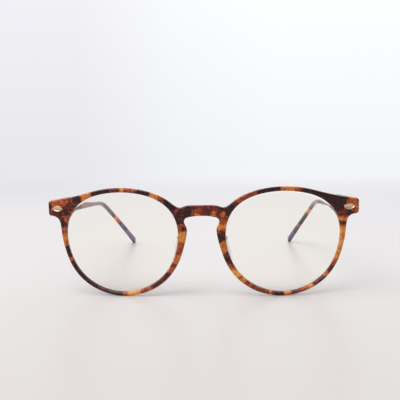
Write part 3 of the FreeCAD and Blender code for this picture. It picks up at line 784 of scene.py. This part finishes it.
def build_temple(side):
    """A bar lofted along the temple's line, square at the hinge and rounded at the tip."""
    edge_steps = 6
    # Each ring is at a share of the length, shrunk by an inset and pulled along the temple.
    plan = []
    for i in range(edge_steps):
        angle = math.pi / 2 * i / edge_steps
        plan.append((0.0, START_ROUND * (1 - math.sin(angle)), START_ROUND * (1 - math.cos(angle))))
    plan += [(share, 0.0, 0.0) for share in np.linspace(0.004, 0.985, RINGS_ALONG)]
    for i in range(edge_steps + 1):
        angle = math.pi / 2 * i / edge_steps
        plan.append((1.0, TIP_ROUND * (1 - math.cos(angle)), TIP_ROUND * (1 - math.sin(angle))))

    rings, distances = [], []
    for share, inset, pull in plan:
        middle = -TEMPLE_AHEAD + share * (TEMPLE_LENGTH + TEMPLE_AHEAD)
        high = np.interp(middle, *np.array(HALF_HEIGHTS).T)
        wide = half_thick(middle)
        ring = rounded_section(wide, high, TEMPLE_CORNER)
        shrink = np.maximum(np.abs(ring) - inset, 0) / np.maximum(np.abs(ring), 1e-9)
        across, up = (ring * shrink).T
        steepness = ring[:, 1] / high
        start = start_distance(across, up)
        end = TEMPLE_LENGTH - END_LEAN * steepness - END_CUT * np.abs(steepness) ** 3
        at = start + share * (end - start)
        at = at + (START_ROUND - pull if share == 0 else pull - TIP_ROUND if share == 1 else 0)
        leaf = (across < 0) * (1 - smooth_step(at, LEAF_LENGTH, LEAF_LENGTH + 1))
        across = across + LEAF_PROUD * leaf
        rings.append(temple_points(at, across, up))
        distances.append(at)
    around = len(rings[0])
    local = np.concatenate(rings)
    distance = np.concatenate(distances)
    name = SIDE_NAMES[side]
    faces = [face[::-1] for face in tube_faces(len(rings), around)]
    piece = make_piece("acetate_temple_" + name, moved(local, TEMPLE), faces, TORTOISE,
                       "temple_" + name, side)
    wander = 2.2 * ripple(local, 4.0, 40.0 + side)
    tone = patches(distance + wander, TEMPLE_PATCHES[side], 0.5)
    set_attribute(piece, "tone", np.clip(tone + 0.12 * ripple(local, 1.3, 50.0), 0, 1))
    # Painted reflection: how much of the lens coating's mauve reflection is painted onto the temple.
    set_attribute(piece, "cool", patches(distance + wander, TEMPLE_PAINTED_REFLECTION[side], 2.0))
    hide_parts("temple_" + name)
    return piece


# ---------------------------------------------------------------- the metal parts

def finish_metal(node_name, material, edge_width):
    """A CAD metal part: its own shape, with softened edges and its own metal."""
    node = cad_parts[node_name]
    node.data.materials.clear()
    node.data.materials.append(material)
    weld = node.modifiers.new("weld", "WELD")
    weld.merge_threshold = 0.000002
    bevel = node.modifiers.new("bevel", "BEVEL")
    bevel.width = edge_width * MM
    bevel.segments = 2
    bevel.limit_method = "ANGLE"
    bevel.angle_limit = math.radians(35)
    return node


for side in (LEFT, RIGHT):
    name = SIDE_NAMES[side]
    build_lens(side)
    build_pad(side)
    build_shield(side)
    build_temple(side)
    finish_metal("hinge_front_leaf_" + name, STEEL, 0.08)
    finish_metal("hinge_temple_leaf_" + name, STEEL, 0.08)
    finish_metal("hinge_screw_" + name, STEEL, 0.06)
    finish_metal("temple_rivet_front_" + name, STEEL, 0.12)
    finish_metal("temple_rivet_rear_" + name, STEEL, 0.12)
    finish_metal("temple_core_" + name, CORE_STEEL, 0.06)
build_front()


# ---------------------------------------------------------------- the table and the backdrop

TABLE_BACK = 0.80
FADE_FROM = 0.22
# The glow's strength at the foot of the wall and half a metre up.
WALL_BRIGHTNESS = (0.955, 1.045)
# Painted shade on the table top, from the darker near side to the far side.
TABLE_SHADE_STOPS = (
    (0.0, (0.575, 0.545, 0.530)),
    (0.3, (0.665, 0.635, 0.622)),
    (1.0, (0.745, 0.725, 0.727)),
)

WALL_STOPS = (
    (0.0, (0.845, 0.84, 0.885)),
    (0.5, (0.915, 0.925, 0.96)),
    (1.0, (0.95, 0.96, 0.99)),
)


def wall_glow(nodes, links, along_x, start, end):
    """A soft glow that is cooler and darker towards the left, between two places in x."""
    span = nodes.new("ShaderNodeMapRange")
    span.inputs["From Min"].default_value = start
    span.inputs["From Max"].default_value = end
    links.new(along_x, span.inputs["Value"])
    ramp = add_ramp(nodes, links, span.outputs["Result"], WALL_STOPS)
    glow = nodes.new("ShaderNodeEmission")
    links.new(ramp.outputs["Color"], glow.inputs["Color"])
    return glow


def object_place(nodes, links):
    """Object space split into x, y and z."""
    place = nodes.new("ShaderNodeTexCoord")
    split = nodes.new("ShaderNodeSeparateXYZ")
    links.new(place.outputs["Object"], split.inputs["Vector"])
    return split


def table_material():
    """A pale, warm, satin table top with painted shade, darker on the near side, that fades into the
    wall's glow far behind.
    """
    material, nodes, links, shader = new_material("pale_table")
    far_side = nodes.new("ShaderNodeVectorMath")
    far_side.operation = "DOT_PRODUCT"
    far_side.inputs[1].default_value = (0.12, 1.0, 0.0)
    links.new(nodes.new("ShaderNodeTexCoord").outputs["Object"], far_side.inputs[0])
    span = nodes.new("ShaderNodeMapRange")
    span.inputs["From Min"].default_value = -0.22
    span.inputs["From Max"].default_value = 0.28
    links.new(far_side.outputs["Value"], span.inputs["Value"])
    # Painted shade: the colour darkens towards the near side.
    ramp = add_ramp(nodes, links, span.outputs["Result"], TABLE_SHADE_STOPS)
    links.new(ramp.outputs["Color"], shader.inputs["Base Color"])
    cloud = add_noise(nodes, links, 3.0, detail=2)
    roughness_from(nodes, links, shader, cloud.outputs["Fac"], 0.28, 0.36)
    shader.inputs["Specular IOR Level"].default_value = 0.4
    split = object_place(nodes, links)
    glow = wall_glow(nodes, links, split.outputs["X"], -0.26, 0.09)
    glow.inputs["Strength"].default_value = WALL_BRIGHTNESS[0]
    away = nodes.new("ShaderNodeMapRange")
    away.interpolation_type = "SMOOTHSTEP"
    away.inputs["From Min"].default_value = FADE_FROM
    away.inputs["From Max"].default_value = TABLE_BACK
    links.new(split.outputs["Y"], away.inputs["Value"])
    blend = nodes.new("ShaderNodeMixShader")
    links.new(away.outputs["Result"], blend.inputs["Fac"])
    links.new(shader.outputs["BSDF"], blend.inputs[1])
    links.new(glow.outputs["Emission"], blend.inputs[2])
    links.new(blend.outputs["Shader"], nodes["Material Output"].inputs["Surface"])
    return material


def backdrop_material():
    """A glowing wall that is a little brighter higher up."""
    material, nodes, links, _ = new_material("bright_wall")
    split = object_place(nodes, links)
    glow = wall_glow(nodes, links, split.outputs["X"], -0.45, 0.15)
    height = nodes.new("ShaderNodeMapRange")
    height.inputs["From Min"].default_value = 0.0
    height.inputs["From Max"].default_value = 0.5
    height.inputs["To Min"].default_value = WALL_BRIGHTNESS[0]
    height.inputs["To Max"].default_value = WALL_BRIGHTNESS[1]
    links.new(split.outputs["Z"], height.inputs["Value"])
    links.new(height.outputs["Result"], glow.inputs["Strength"])
    links.new(glow.outputs["Emission"], nodes["Material Output"].inputs["Surface"])
    return material


def flat_sheet(name, corners, material):
    sheet = mesh_object(name, np.array(corners, float), [(0, 1, 2, 3)], material)
    return sheet


flat_sheet("table_top", [(-2, -2, 0), (2, -2, 0), (2, TABLE_BACK, 0), (-2, TABLE_BACK, 0)],
           table_material())
flat_sheet("back_wall", [(-2, 1.6, -0.6), (-2, 1.6, 1.6), (2, 1.6, 1.6), (2, 1.6, -0.6)],
           backdrop_material())


# ---------------------------------------------------------------- light

def area_light(name, place, aim, width, height, power, colour):
    data = bpy.data.lights.new(name, "AREA")
    data.shape = "RECTANGLE"
    data.size, data.size_y = width, height
    data.energy = power
    data.color = colour
    lamp = bpy.data.objects.new(name, data)
    lamp.location = place
    lamp.rotation_euler = (Vector(aim) - Vector(place)).to_track_quat("-Z", "Y").to_euler()
    bpy.context.scene.collection.objects.link(lamp)
    return lamp


KEY_WATTS = 7.0
area_light("key_softbox", (-0.38, -0.35, 0.85), (0, 0, 0.02), 0.8, 0.8, KEY_WATTS, (1.0, 0.985, 0.96))

# The room is bright above and behind the glasses, and dim on the viewer's side.
world = bpy.data.worlds.new("studio")
world.use_nodes = True
world_nodes, world_links = world.node_tree.nodes, world.node_tree.links
direction = world_nodes.new("ShaderNodeTexCoord")
towards = world_nodes.new("ShaderNodeVectorMath")
towards.operation = "DOT_PRODUCT"
towards.inputs[1].default_value = (0.0, 0.62, 0.78)
world_links.new(direction.outputs["Generated"], towards.inputs[0])
room = add_ramp(world_nodes, world_links, towards.outputs["Value"], (
    (0.0, (0.30, 0.295, 0.31)),
    (0.55, (0.86, 0.87, 0.90)),
))
surround = world_nodes["Background"]
world_links.new(room.outputs["Color"], surround.inputs["Color"])
surround.inputs["Strength"].default_value = 1.0
bpy.context.scene.world = world
bpy.context.scene.view_settings.view_transform = "Standard"


# ---------------------------------------------------------------- the camera

CAMERA_AT = (0.01197, -0.34191, 0.0716)
CAMERA_YAW, CAMERA_PITCH, CAMERA_ROLL = 2.653, 5.91, -0.82
FOCAL_PIXELS, IMAGE_PIXELS = 622.04, 400

camera_data = bpy.data.cameras.new("camera")
camera_data.sensor_width = 36
camera_data.lens = FOCAL_PIXELS / IMAGE_PIXELS * camera_data.sensor_width
camera_data.clip_start = 0.01
camera = bpy.data.objects.new("camera", camera_data)
camera.matrix_world = (Matrix.Translation(CAMERA_AT) @ turn("Z", CAMERA_YAW)
                       @ turn("X", 90 - CAMERA_PITCH) @ turn("Z", CAMERA_ROLL))
bpy.context.scene.collection.objects.link(camera)
bpy.context.scene.camera = camera
